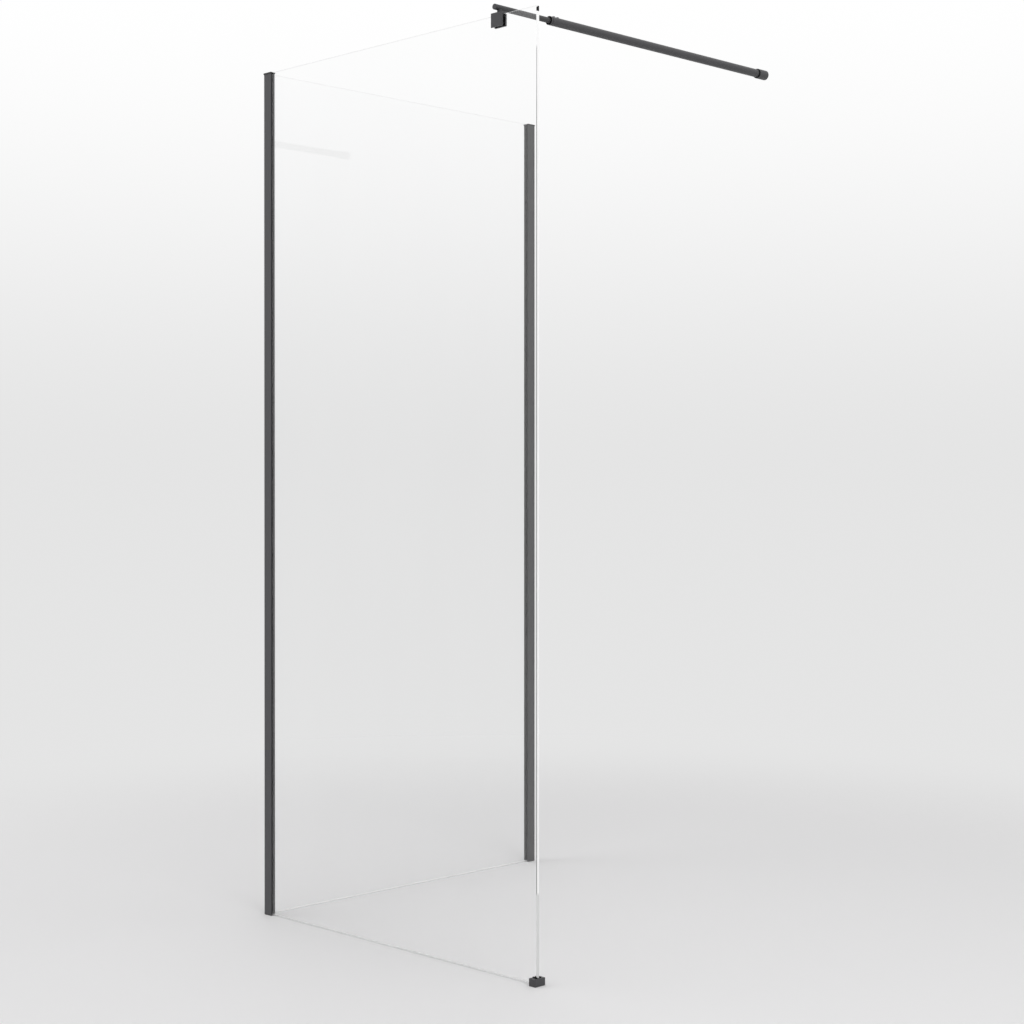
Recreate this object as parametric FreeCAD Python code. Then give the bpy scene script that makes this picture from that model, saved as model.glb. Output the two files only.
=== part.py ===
"""Walk-in shower screen: two glass panels meeting at a corner, held by a wall profile,
a corner profile, a floor foot and a telescopic bar that ties the free panel to the wall.

Frame: X = 0 on the mid-plane of the side panel, Y = 0 on the wall, Z = 0 on the floor.
The screen stands on the -Y side of the wall and opens towards +X. Millimetres.
"""
import FreeCAD, Part
import math
import os
from FreeCAD import Vector

# Overall sizes
screen_height = 2000.0       # floor to the top of the profile caps
front_width = 901.5          # outer face of the corner profile to the free glass edge
side_depth = 910.0           # wall to the front face of the corner profile

# Glass
glass_thickness = 8.0
glass_arris = 1.0            # ground chamfer on every glass edge
floor_gap = 4.0              # under the glass, filled by blocks and bottom seals
cap_gap = 0.3                # top of the glass, or of a seal, to the cap above it

# Extruded profiles
profile_wall = 1.6
wall_web = 2.0               # web that lies on the wall
wall_reach = 25.0            # wall to the mouth of the wall profile
corner_face = 26.0           # width of the corner profile's front face
corner_back_wall = 3.5       # wall of the corner profile behind the front glass
profile_edge_radius = 0.6
lip_height = 0.5             # hook that keeps a seal in its channel
lip_depth = 1.0
wall_edge_room = 6.0         # glass edge to the web, room for screw heads
corner_edge_room = 2.0       # glass edge to the floor of a corner channel
fixing_hole_diameter = 5.5
fixing_end_margin = 100.0    # end of the wall profile to its first hole
fixing_inner_pitch = 600.0   # between the two middle holes

# Seals, blocks and caps
seal_thickness = 1.4
wall_seal_thickness = 7.0    # pressure seal on the outer side of the wall profile
seal_depth = 7.5
seal_wedge = 2.0             # tapered tail of a seal
seal_nose = 0.6              # bead that shows outside the mouth
seal_clearance = 0.1
block_clearance = 0.2
block_inset = 1.5            # block to the mouth of its channel
bottom_seal_foot = 3.0       # width of a bottom seal on the floor
bottom_seal_shoulder = 1.5   # height of its straight sides
bottom_seal_end_gap = 0.3
cap_thickness = 3.5
cap_roof = 1.0               # cap above the glass, which stands in a pocket of it
cap_overhang = 1.2
cap_corner_radius = 1.0
cap_edge_chamfer = 0.5
cap_leg_length = 12.0
cap_leg_clearance = 0.15

# Floor foot
foot_length = 18.5           # along the glass
foot_width = 29.0            # across the glass
foot_height = 16.0
foot_end_wall = 6.5          # past the free glass edge
foot_corner_radius = 0.8
foot_edge_chamfer = 0.6
foot_liner = 0.7
foot_liner_floor = 1.0
foot_lip_width = 2.5         # lip of the liner on top of the foot, on each side of the glass
foot_lip_height = 2.2
foot_lip_inset = 2.5         # open end of the foot to the lips
foot_screw_diameter = 4.4
foot_screw_head = 8.0

# Glass clamp
bar_inset = 112.0            # free glass edge to the bar's axis
clamp_width = 33.0
clamp_jaw = 3.25
clamp_grip = 25.0            # jaw below the top edge of the glass
clamp_bridge = 4.0
clamp_bridge_gap = 0.5       # bridge to the top edge of the glass
clamp_corner_radius = 0.8
clamp_edge_chamfer = 0.5
clamp_pad = 2.0
clamp_pad_inset = 1.0
grub_diameter = 5.0
grub_spacing = 18.0
grub_drop = 12.0             # below the top edge of the glass
grub_recess = 0.3            # outer end below the jaw's face
grub_key = 2.5               # across flats of the key socket
grub_key_depth = 1.8

# Saddle between clamp and rod
saddle_diameter = 10.0
saddle_height = 4.8          # clamp top to the underside of the rod
saddle_wrap = 2.4            # height of the cradle up the rod's sides
saddle_clearance = 0.05
saddle_screw_diameter = 5.0
saddle_screw_head = 9.0
saddle_screw_clearance = 0.1

# Inner rod
rod_diameter = 12.0
rod_wall = 1.5
rod_proud = 6.25             # rod end in front of the clamp
rod_length = 460.0
plug_cap = 2.0
plug_length = 26.0
plug_chamfer = 0.6
glide_length = 10.0
glide_spigot = 12.0
bore_clearance = 0.05        # plugs in the rod and bushes in the tube
running_clearance = 0.05     # rod in its bush and glide in its tube

# Outer tube, with its guide bush and lock screws
tube_diameter = 19.0
tube_wall = 1.2
collar_setback = 148.0       # mid-plane of the front glass to the collar's face
collar_length = 5.0
collar_chamfer = 0.8
collar_groove = 0.4          # joint between collar and tube
bush_length = 38.0
lock_screw_diameter = 6.0
lock_screw_key = 3.0         # across flats of the key socket
lock_screw_key_depth = 2.5
lock_screw_proud = 1.2       # above the top of the tube
lock_screw_first = 14.5      # collar face to the first screw
lock_screw_pitch = 12.0
lock_screw_tip_gap = 0.3     # tip to the rod while unlocked

# Wall socket of the bar
socket_diameter = 23.0
socket_length = 31.0
socket_bore_clearance = 0.2
socket_recess_width = 0.9    # ring seat around the tube
socket_recess_depth = 3.5
ring_proud = 3.6             # ring in front of the socket's mouth
ring_clearance = 0.1
base_disc = 5.0
base_spigot = 16.0
base_screw_diameter = 6.5
base_screw_head = 11.0
base_screw_seat = 8.0        # length of the narrow part of the screw hole
socket_grub_diameter = 4.0
socket_grub_setback = 15.0   # wall to the grub screw
socket_grub_key = 2.0
socket_grub_key_depth = 1.0

# Derived places
channel_width = glass_thickness + 2 * seal_thickness
profile_width = channel_width + 2 * profile_wall
corner_depth = profile_wall + channel_width + corner_back_wall
profile_top = screen_height - cap_thickness
glass_top = screen_height - cap_roof - cap_gap
glass_half = glass_thickness / 2
outer_x = -profile_width / 2
free_edge_x = outer_x + front_width
front_mid_y = -side_depth + profile_width / 2

wall_channel_depth = wall_reach - wall_web
front_channel_depth = corner_face - profile_width
side_channel_depth = corner_depth - profile_wall
wall_glass_depth = wall_channel_depth - wall_edge_room
front_glass_depth = front_channel_depth - corner_edge_room
side_glass_depth = side_channel_depth - corner_edge_room

# A channel is described by its mouth, by the turn that points it into the profile,
# and by the thickness of the seals to the left and right of the glass
wall_channel = (0.0, -wall_reach, 0, wall_seal_thickness, seal_thickness)
side_channel = (0.0, -side_depth + corner_depth, 180, seal_thickness, seal_thickness)
front_channel = (outer_x + corner_face, front_mid_y, 90, seal_thickness, seal_thickness)

foot_start_x = free_edge_x + foot_end_wall - foot_length
bar_x = free_edge_x - bar_inset
clamp_thickness = glass_thickness + 2 * (clamp_pad + clamp_jaw)
clamp_slot_top = glass_top + clamp_bridge_gap
clamp_top = clamp_slot_top + clamp_bridge
clamp_bottom = glass_top - clamp_grip
bar_z = clamp_top + saddle_height + rod_diameter / 2
rod_front_y = front_mid_y - clamp_thickness / 2 - rod_proud
rod_bore = rod_diameter - 2 * rod_wall
rod_tube_y = rod_front_y + plug_cap
rod_rear_y = rod_front_y + rod_length
tube_bore = tube_diameter - 2 * tube_wall
collar_y = front_mid_y + collar_setback
tube_front_y = collar_y + collar_length + collar_groove
tube_rear_y = -base_disc
lock_screw_top = bar_z + tube_diameter / 2 + lock_screw_proud
lock_screw_ys = [collar_y + lock_screw_first + i * lock_screw_pitch for i in range(2)]
socket_bore = tube_diameter + 2 * socket_bore_clearance
ring_seat = socket_bore + 2 * socket_recess_width


def box(x0, x1, y0, y1, z0, z1):
    return Part.makeBox(x1 - x0, y1 - y0, z1 - z0, Vector(x0, y0, z0))


def prism(points, z0, z1):
    """Upright prism over a closed outline of (x, y) points."""
    corners = [Vector(x, y, z0) for x, y in points]
    face = Part.Face(Part.makePolygon(corners + corners[:1]))
    return face.extrude(Vector(0, 0, z1 - z0))


def bar_cylinder(diameter, y0, y1):
    """Cylinder on the bar's axis."""
    return Part.makeCylinder(diameter / 2, y1 - y0, Vector(bar_x, y0, bar_z), Vector(0, 1, 0))


def upright_cylinder(diameter, x, y, z0, z1):
    return Part.makeCylinder(diameter / 2, z1 - z0, Vector(x, y, z0))


def bar_chamfer_ring(diameter, size, y, outward):
    """Wedge ring that breaks the sharp rim of a round piece on the bar's axis."""
    radius = diameter / 2
    outline = [
        Vector(bar_x + radius - size, y, bar_z),
        Vector(bar_x + radius, y, bar_z),
        Vector(bar_x + radius, y - outward * size, bar_z),
    ]
    face = Part.Face(Part.makePolygon(outline + outline[:1]))
    return face.revolve(Vector(bar_x, y, bar_z), Vector(0, 1, 0), 360)


def hexagon(across_flats, centre, axis, depth):
    """Key socket: hexagonal prism from a centre point along an axis."""
    radius = across_flats / math.sqrt(3)
    corners = [
        Vector(radius * math.cos(math.radians(60 * i)), radius * math.sin(math.radians(60 * i)), 0)
        for i in range(6)
    ]
    key = Part.Face(Part.makePolygon(corners + corners[:1])).extrude(Vector(0, 0, depth))
    key.Placement = FreeCAD.Placement(centre, FreeCAD.Rotation(Vector(0, 0, 1), axis))
    return key


def upright_edges(shape, places):
    """Vertical edges of a shape that stand on the given (x, y) places."""
    found = []
    for edge in shape.Edges:
        start = edge.Vertexes[0].Point
        end = edge.Vertexes[-1].Point
        upright = math.hypot(start.x - end.x, start.y - end.y) < 1e-6
        if upright and any(math.hypot(start.x - x, start.y - y) < 1e-6 for x, y in places):
            found.append(edge)
    return found


def level_edges(shape, z):
    """Edges of a shape that lie wholly at one height."""
    return [e for e in shape.Edges if abs(e.BoundBox.ZMin - z) < 1e-6 and abs(e.BoundBox.ZMax - z) < 1e-6]


def rounded_block(x0, x1, y0, y1, z0, z1, corner_radius, edge_chamfer):
    """Block with rounded upright corners and a chamfered top edge."""
    block = box(x0, x1, y0, y1, z0, z1)
    corners = [(x, y) for x in (x0, x1) for y in (y0, y1)]
    block = block.makeFillet(corner_radius, upright_edges(block, corners))
    return block.makeChamfer(edge_chamfer, level_edges(block, z1))


def in_channel(shape, channel):
    """Carries a shape drawn at a channel's mouth, inwards along +Y, to its real place."""
    mouth_x, mouth_y, turn = channel[:3]
    placed = shape.copy()
    placed.rotate(Vector(0, 0, 0), Vector(0, 0, 1), turn)
    placed.translate(Vector(mouth_x, mouth_y, 0))
    return placed


def channel_side(side, channel):
    """Distance from the glass mid-plane to a channel's wall on one side (-1 or 1)."""
    left_seal, right_seal = channel[3:]
    return glass_half + (left_seal if side < 0 else right_seal)


def channel_void(depth, channel):
    """Hollow of a glass channel: hooked mouth, then plain walls down to the web."""
    left = channel_side(-1, channel)
    right = channel_side(1, channel)
    outline = [
        (lip_height - left, 0),
        (lip_height - left, lip_depth),
        (-left, lip_depth),
        (-left, depth),
        (right, depth),
        (right, lip_depth),
        (right - lip_height, lip_depth),
        (right - lip_height, 0),
    ]
    return in_channel(prism(outline, 0, profile_top), channel)


def wedge_seal(side, channel):
    """Wedge seal hooked behind a channel's lip, on one side (-1 or 1) of the glass."""
    inner = glass_half + seal_clearance
    outer = channel_side(side, channel)
    neck = outer - lip_height - seal_clearance
    outline = [
        (inner, -seal_nose),
        ((inner + neck) / 2, -seal_nose),
        (neck, 0),
        (neck, lip_depth + seal_clearance),
        (outer, lip_depth + seal_clearance),
        (outer, seal_depth - seal_wedge),
        (inner, seal_depth),
    ]
    sided = [(side * u, v) for u, v in outline]
    return in_channel(prism(sided, floor_gap, profile_top - cap_gap), channel)


def setting_block(glass_depth, channel):
    """Block that carries the glass edge inside a channel."""
    spare = lip_height + block_clearance
    left = channel_side(-1, channel) - spare
    right = channel_side(1, channel) - spare
    return in_channel(box(-left, right, block_inset, glass_depth, 0, floor_gap), channel)


def cap_leg(glass_depth, channel_depth, channel):
    """Leg of a cap, pushed into the room between glass edge and channel floor."""
    left = channel_side(-1, channel) - cap_leg_clearance
    right = channel_side(1, channel) - cap_leg_clearance
    near = glass_depth + cap_leg_clearance
    far = channel_depth - cap_leg_clearance
    leg = box(-left, right, near, far, profile_top - cap_leg_length, profile_top)
    return in_channel(leg, channel)


def cap_pocket(glass_depth, channel):
    """Room for the top of the glass in the underside of a cap, open at the mouth."""
    half = glass_half + cap_leg_clearance
    end = glass_depth + cap_leg_clearance
    room = box(-half, half, -2 * cap_overhang, end, profile_top, screen_height - cap_roof)
    return in_channel(room, channel)


def glass_panel(x0, x1, y0, y1):
    panel = box(x0, x1, y0, y1, floor_gap, glass_top)
    return panel.makeChamfer(glass_arris, panel.Edges)


def front_glass():
    inner_edge = front_channel[0] - front_glass_depth
    return glass_panel(inner_edge, free_edge_x, front_mid_y - glass_half, front_mid_y + glass_half)


def side_glass():
    front_edge = side_channel[1] - side_glass_depth
    wall_edge = wall_channel[1] + wall_glass_depth
    return glass_panel(-glass_half, glass_half, front_edge, wall_edge)


def fixing_heights():
    """Heights of the four wall screws, in two pairs about the middle of the profile."""
    middle = profile_top / 2
    outer = middle - fixing_end_margin
    inner = fixing_inner_pitch / 2
    return [middle + offset for offset in (-outer, -inner, inner, outer)]


def wall_profile():
    left = -channel_side(-1, wall_channel) - profile_wall
    right = channel_side(1, wall_channel) + profile_wall
    profile = box(left, right, -wall_reach, 0, 0, profile_top)
    front_corners = [(left, -wall_reach), (right, -wall_reach)]
    profile = profile.makeFillet(profile_edge_radius, upright_edges(profile, front_corners))
    profile = profile.cut(channel_void(wall_channel_depth, wall_channel))
    for z in fixing_heights():
        hole = Part.makeCylinder(fixing_hole_diameter / 2, wall_web, Vector(0, -wall_web, z), Vector(0, 1, 0))
        profile = profile.cut(hole)
    return profile


def wall_profile_cap():
    left = -channel_side(-1, wall_channel) - profile_wall - cap_overhang
    right = channel_side(1, wall_channel) + profile_wall + cap_overhang
    front = -wall_reach - cap_overhang
    plate = box(left, right, front, 0, profile_top, screen_height)
    plate = plate.makeFillet(cap_corner_radius, upright_edges(plate, [(left, front), (right, front)]))
    plate = plate.makeChamfer(cap_edge_chamfer, level_edges(plate, screen_height))
    plate = plate.cut(cap_pocket(wall_glass_depth, wall_channel))
    return plate.fuse(cap_leg(wall_glass_depth, wall_channel_depth, wall_channel)).removeSplitter()


def corner_profile():
    inner_x = outer_x + corner_face
    back_y = -side_depth + corner_depth
    profile = box(outer_x, inner_x, -side_depth, back_y, 0, profile_top)
    corners = [(x, y) for x in (outer_x, inner_x) for y in (-side_depth, back_y)]
    profile = profile.makeFillet(profile_edge_radius, upright_edges(profile, corners))
    profile = profile.cut(channel_void(front_channel_depth, front_channel))
    return profile.cut(channel_void(side_channel_depth, side_channel))


def corner_profile_cap():
    plate = rounded_block(
        outer_x - cap_overhang,
        outer_x + corner_face + cap_overhang,
        -side_depth - cap_overhang,
        -side_depth + corner_depth + cap_overhang,
        profile_top,
        screen_height,
        cap_corner_radius,
        cap_edge_chamfer,
    )
    plate = plate.cut(cap_pocket(front_glass_depth, front_channel))
    plate = plate.cut(cap_pocket(side_glass_depth, side_channel))
    front_leg = cap_leg(front_glass_depth, front_channel_depth, front_channel)
    side_leg = cap_leg(side_glass_depth, side_channel_depth, side_channel)
    return plate.fuse([front_leg, side_leg]).removeSplitter()


def beside_glass(side, thickness, x0, x1, z0, z1):
    """Strip that lies on one face (-1 or 1) of the front glass."""
    near = front_mid_y + side * glass_half
    far = near + side * thickness
    return box(x0, x1, min(near, far), max(near, far), z0, z1)


def bottom_seal_outline():
    """Section of a bottom seal, across the glass and up from the floor."""
    foot = bottom_seal_foot / 2
    shoulder = floor_gap - bottom_seal_shoulder
    right = [(foot, 0), (glass_half, shoulder), (glass_half, floor_gap)]
    return right + [(-across, z) for across, z in reversed(right)]


def front_bottom_seal():
    start = front_channel[0] + seal_nose + bottom_seal_end_gap
    end = foot_start_x - bottom_seal_end_gap
    corners = [Vector(start, front_mid_y + across, z) for across, z in bottom_seal_outline()]
    return Part.Face(Part.makePolygon(corners + corners[:1])).extrude(Vector(end - start, 0, 0))


def side_bottom_seal():
    start = side_channel[1] + seal_nose + bottom_seal_end_gap
    end = wall_channel[1] - seal_nose - bottom_seal_end_gap
    corners = [Vector(across, start, z) for across, z in bottom_seal_outline()]
    return Part.Face(Part.makePolygon(corners + corners[:1])).extrude(Vector(0, end - start, 0))


def foot_pocket():
    """Pocket of the foot, which the liner fills."""
    half = glass_half + foot_liner
    floor = floor_gap - foot_liner_floor
    end = free_edge_x + foot_liner
    return box(foot_start_x, end, front_mid_y - half, front_mid_y + half, floor, foot_height)


def floor_foot():
    half = foot_width / 2
    foot = rounded_block(
        foot_start_x,
        foot_start_x + foot_length,
        front_mid_y - half,
        front_mid_y + half,
        0,
        foot_height,
        foot_corner_radius,
        foot_edge_chamfer,
    )
    foot = foot.cut(foot_pocket())
    screw_x = (foot_start_x + free_edge_x) / 2
    base = floor_gap - foot_liner_floor
    sink = (foot_screw_head - foot_screw_diameter) / 2
    foot = foot.cut(upright_cylinder(foot_screw_diameter, screw_x, front_mid_y, 0, base))
    countersink = Part.makeCone(
        foot_screw_diameter / 2, foot_screw_head / 2, sink, Vector(screw_x, front_mid_y, base - sink)
    )
    return foot.cut(countersink)


def foot_liner_piece():
    """Liner of the foot's pocket with a lip on each side of the glass, resting on the foot."""
    start = foot_start_x + foot_lip_inset
    end = free_edge_x + foot_lip_width
    lip_top = foot_height + foot_lip_height
    lips = [beside_glass(side, foot_lip_width, start, end, foot_height, lip_top) for side in (-1, 1)]
    liner = foot_pocket().fuse(lips).removeSplitter()
    glass_room = box(
        free_edge_x - foot_length,
        free_edge_x,
        front_mid_y - glass_half,
        front_mid_y + glass_half,
        floor_gap,
        screen_height,
    )
    return liner.cut(glass_room)


def grub_places():
    """Upper ends of the clamp's grub screws on the back face of the rear jaw."""
    back = front_mid_y + clamp_thickness / 2
    height = glass_top - grub_drop
    return [Vector(bar_x + side * grub_spacing / 2, back, height) for side in (-1, 1)]


def clamp_body():
    half_width = clamp_width / 2
    half_thickness = clamp_thickness / 2
    slot = glass_half + clamp_pad
    body = rounded_block(
        bar_x - half_width,
        bar_x + half_width,
        front_mid_y - half_thickness,
        front_mid_y + half_thickness,
        clamp_bottom,
        clamp_top,
        clamp_corner_radius,
        clamp_edge_chamfer,
    )
    body = body.cut(
        box(
            bar_x - half_width,
            bar_x + half_width,
            front_mid_y - slot,
            front_mid_y + slot,
            clamp_bottom,
            clamp_slot_top,
        )
    )
    for place in grub_places():
        body = body.cut(Part.makeCylinder(grub_diameter / 2, clamp_jaw, place, Vector(0, -1, 0)))
    return body.cut(saddle_screw_room())


def clamp_pads():
    half = clamp_width / 2 - clamp_pad_inset
    bottom = clamp_bottom + clamp_pad_inset
    top = glass_top - glass_arris
    return Part.makeCompound(
        [beside_glass(side, clamp_pad, bar_x - half, bar_x + half, bottom, top) for side in (-1, 1)]
    )


def clamp_grub_screws():
    screws = []
    for place in grub_places():
        outer = place - Vector(0, grub_recess, 0)
        screw = Part.makeCylinder(grub_diameter / 2, clamp_jaw - grub_recess, outer, Vector(0, -1, 0))
        screws.append(screw.cut(hexagon(grub_key, outer, Vector(0, -1, 0), grub_key_depth)))
    return Part.makeCompound(screws)


def saddle_screw_shape(diameter, head):
    """Countersunk screw that runs up through the bridge and the saddle into the rod's plug."""
    sink = (head - diameter) / 2
    cone = Part.makeCone(head / 2, diameter / 2, sink, Vector(bar_x, front_mid_y, clamp_slot_top))
    shank = upright_cylinder(diameter, bar_x, front_mid_y, clamp_slot_top + sink, bar_z)
    return cone.fuse(shank).removeSplitter()


def saddle_screw_room():
    spread = 2 * saddle_screw_clearance
    return saddle_screw_shape(saddle_screw_diameter + spread, saddle_screw_head + spread)


def saddle_screw():
    screw = saddle_screw_shape(saddle_screw_diameter, saddle_screw_head)
    face = Vector(bar_x, front_mid_y, clamp_slot_top)
    return screw.cut(hexagon(saddle_screw_diameter / 2, face, Vector(0, 0, 1), clamp_bridge / 2))


def rod_saddle():
    underside = clamp_top + saddle_height
    saddle = upright_cylinder(saddle_diameter, bar_x, front_mid_y, clamp_top, underside + saddle_wrap)
    cradle = bar_cylinder(
        rod_diameter + 2 * saddle_clearance, front_mid_y - saddle_diameter, front_mid_y + saddle_diameter
    )
    return saddle.cut(cradle).cut(saddle_screw_room())


def inner_rod():
    rod = bar_cylinder(rod_diameter, rod_tube_y, rod_rear_y)
    rod = rod.cut(bar_cylinder(rod_bore, rod_tube_y, rod_rear_y))
    return rod.cut(saddle_screw_room())


def rod_end_plug():
    cap = bar_cylinder(rod_diameter, rod_front_y, rod_tube_y)
    cap = cap.cut(bar_chamfer_ring(rod_diameter, plug_chamfer, rod_front_y, -1))
    shank = bar_cylinder(rod_bore - 2 * bore_clearance, rod_tube_y, rod_tube_y + plug_length)
    return cap.fuse(shank).removeSplitter().cut(saddle_screw_room())


def rod_glide():
    head = bar_cylinder(tube_bore - 2 * running_clearance, rod_rear_y, rod_rear_y + glide_length)
    spigot = bar_cylinder(rod_bore - 2 * bore_clearance, rod_rear_y - glide_spigot, rod_rear_y)
    return head.fuse(spigot).removeSplitter()


def outer_tube():
    tube = bar_cylinder(tube_diameter, tube_front_y, tube_rear_y)
    tube = tube.cut(bar_cylinder(tube_bore, tube_front_y, tube_rear_y))
    hole = lock_screw_diameter + 2 * bore_clearance
    return tube.cut([upright_cylinder(hole, bar_x, y, bar_z, lock_screw_top) for y in lock_screw_ys])


def guide_bush():
    collar = bar_cylinder(tube_diameter, collar_y, collar_y + collar_length)
    collar = collar.cut(bar_chamfer_ring(tube_diameter, collar_chamfer, collar_y, -1))
    sleeve_end = tube_front_y + bush_length
    sleeve = bar_cylinder(tube_bore - 2 * bore_clearance, collar_y + collar_length, sleeve_end)
    bush = collar.fuse(sleeve).removeSplitter()
    bush = bush.cut(bar_cylinder(rod_diameter + 2 * running_clearance, collar_y, sleeve_end))
    slot = lock_screw_diameter / 2 + bore_clearance
    return bush.cut(box(bar_x - slot, bar_x + slot, tube_front_y, sleeve_end, bar_z, lock_screw_top))


def tube_lock_screws():
    tip = bar_z + rod_diameter / 2 + lock_screw_tip_gap
    screws = []
    for y in lock_screw_ys:
        screw = upright_cylinder(lock_screw_diameter, bar_x, y, tip, lock_screw_top)
        top = Vector(bar_x, y, lock_screw_top)
        screws.append(screw.cut(hexagon(lock_screw_key, top, Vector(0, 0, -1), lock_screw_key_depth)))
    return Part.makeCompound(screws)


def socket_base():
    disc = bar_cylinder(tube_diameter, -base_disc, 0)
    spigot = bar_cylinder(tube_bore - 2 * bore_clearance, -base_disc - base_spigot, -base_disc)
    base = disc.fuse(spigot).removeSplitter()
    base = base.cut(bar_cylinder(base_screw_diameter, -base_screw_seat, 0))
    return base.cut(bar_cylinder(base_screw_head, -base_disc - base_spigot, -base_screw_seat))


def socket_grub_shape(tip):
    """Radial screw in the underside of the socket, from its outer face up to a tip height."""
    return upright_cylinder(
        socket_grub_diameter, bar_x, -socket_grub_setback, bar_z - socket_diameter / 2, bar_z - tip
    )


def wall_socket():
    sleeve = bar_cylinder(socket_diameter, -socket_length, 0)
    sleeve = sleeve.cut(bar_cylinder(socket_bore, -socket_length, 0))
    sleeve = sleeve.cut(bar_cylinder(ring_seat, -socket_length, -socket_length + socket_recess_depth))
    return sleeve.cut(socket_grub_shape(tube_diameter / 2))


def socket_ring():
    front = -socket_length - ring_proud
    back = -socket_length + socket_recess_depth
    ring = bar_cylinder(ring_seat - 2 * ring_clearance, front, back)
    return ring.cut(bar_cylinder(tube_diameter + 2 * ring_clearance, front, back))


def socket_grub_screw():
    screw = socket_grub_shape(tube_diameter / 2 + bore_clearance)
    face = Vector(bar_x, -socket_grub_setback, bar_z - socket_diameter / 2)
    flush = bar_cylinder(socket_diameter - 2 * bore_clearance, -socket_length, 0)
    return screw.common(flush).cut(hexagon(socket_grub_key, face, Vector(0, 0, 1), socket_grub_key_depth))


def all_pieces():
    return {
        "front_glass": front_glass(),
        "side_glass": side_glass(),
        "wall_profile": wall_profile(),
        "wall_profile_cap": wall_profile_cap(),
        "wall_seal_outer": wedge_seal(-1, wall_channel),
        "wall_seal_inner": wedge_seal(1, wall_channel),
        "wall_setting_block": setting_block(wall_glass_depth, wall_channel),
        "corner_profile": corner_profile(),
        "corner_profile_cap": corner_profile_cap(),
        "corner_seal_front": wedge_seal(-1, front_channel),
        "corner_seal_back": wedge_seal(1, front_channel),
        "corner_seal_outer": wedge_seal(1, side_channel),
        "corner_seal_inner": wedge_seal(-1, side_channel),
        "corner_front_block": setting_block(front_glass_depth, front_channel),
        "corner_side_block": setting_block(side_glass_depth, side_channel),
        "front_bottom_seal": front_bottom_seal(),
        "side_bottom_seal": side_bottom_seal(),
        "floor_foot": floor_foot(),
        "foot_liner": foot_liner_piece(),
        "clamp_body": clamp_body(),
        "clamp_pads": clamp_pads(),
        "clamp_grub_screws": clamp_grub_screws(),
        "rod_saddle": rod_saddle(),
        "saddle_screw": saddle_screw(),
        "inner_rod": inner_rod(),
        "rod_end_plug": rod_end_plug(),
        "rod_glide": rod_glide(),
        "outer_tube": outer_tube(),
        "guide_bush": guide_bush(),
        "tube_lock_screws": tube_lock_screws(),
        "socket_base": socket_base(),
        "wall_socket": wall_socket(),
        "socket_ring": socket_ring(),
        "socket_grub_screw": socket_grub_screw(),
    }


os.makedirs("parts", exist_ok=True)
for name, shape in all_pieces().items():
    shape.exportStep(f"parts/{name}.step")
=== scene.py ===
"""Walk-in shower screen: finishes and softened shapes for its pieces, in a plain pale studio.

Every piece is in metres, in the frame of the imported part: X = 0 on the mid-plane of the side
panel, Y = 0 on the back of the wall profile, Z = 0 under the foot. The screen opens towards +X.
"""

import math

import bmesh
import bpy
from bpy.props import FloatProperty, FloatVectorProperty, IntProperty, PointerProperty
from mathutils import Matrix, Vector


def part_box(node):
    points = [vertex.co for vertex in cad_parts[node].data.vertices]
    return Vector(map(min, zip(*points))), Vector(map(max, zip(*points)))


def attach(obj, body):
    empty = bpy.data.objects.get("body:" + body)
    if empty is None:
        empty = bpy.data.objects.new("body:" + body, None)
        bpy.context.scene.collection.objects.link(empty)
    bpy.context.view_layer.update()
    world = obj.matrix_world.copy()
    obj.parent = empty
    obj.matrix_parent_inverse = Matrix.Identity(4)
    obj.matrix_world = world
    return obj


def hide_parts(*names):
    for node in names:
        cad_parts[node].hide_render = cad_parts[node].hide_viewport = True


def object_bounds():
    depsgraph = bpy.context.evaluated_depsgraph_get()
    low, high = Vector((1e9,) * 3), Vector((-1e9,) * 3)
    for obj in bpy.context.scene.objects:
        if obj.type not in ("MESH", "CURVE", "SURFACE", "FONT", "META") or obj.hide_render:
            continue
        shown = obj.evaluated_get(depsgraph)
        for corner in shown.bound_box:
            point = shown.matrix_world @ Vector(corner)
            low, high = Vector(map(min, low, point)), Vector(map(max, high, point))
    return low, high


bl_info = {
    "name": "Walk-in Shower Screen",
    "version": (1, 0, 0),
    "blender": (4, 5, 0),
    "location": "3D View > Sidebar > Screen",
    "description": "Builds and finishes the pieces of a walk-in shower screen",
    "category": "Add Mesh",
}

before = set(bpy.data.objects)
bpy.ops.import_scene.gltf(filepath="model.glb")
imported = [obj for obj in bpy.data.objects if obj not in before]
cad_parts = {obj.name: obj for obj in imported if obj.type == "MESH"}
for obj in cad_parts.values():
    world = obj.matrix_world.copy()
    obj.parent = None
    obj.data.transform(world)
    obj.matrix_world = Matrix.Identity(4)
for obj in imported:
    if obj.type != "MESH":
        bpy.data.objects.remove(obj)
CAD_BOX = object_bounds()

SCREEN_BODY = "screen"
TUBE_BODY = "bar_tube"

X, Y, Z = range(3)
WHITE = (1.0, 1.0, 1.0, 1.0)

# Faces that meet at a smaller angle look round
SMOOTH_LIMIT = math.radians(40)
# Points that are closer than this, in metres, are one point
SAME_PLACE = 1e-6
# Share of a direction along an axis from which it counts as lying along it
FACING = 0.99
# A face of a turned piece belongs to its side when it looks along the bar by less than this
TURNED_SIDE = 0.5

# How squarely a face looks along an axis where a tone starts and where it is full
SEAL_FACE = (0.8, 0.9)
FLAT_OF_EDGE = (0.75, 0.95)
LEVEL_ARRIS = (0.3, 0.6)

# Stretches below the top of the glass, in metres, over which the painted shade of the upright arris
# line turns paler with painted light and then fades into its edge
ARRIS_PALING = (0.25, 0.15)
ARRIS_FADING = (0.088, 0.078)
# Stretch of height, in metres, over which the glass edges leave their low tone, a painted reflection of the
# floor
LOW_EDGE_END = (0.184, 0.191)
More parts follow.
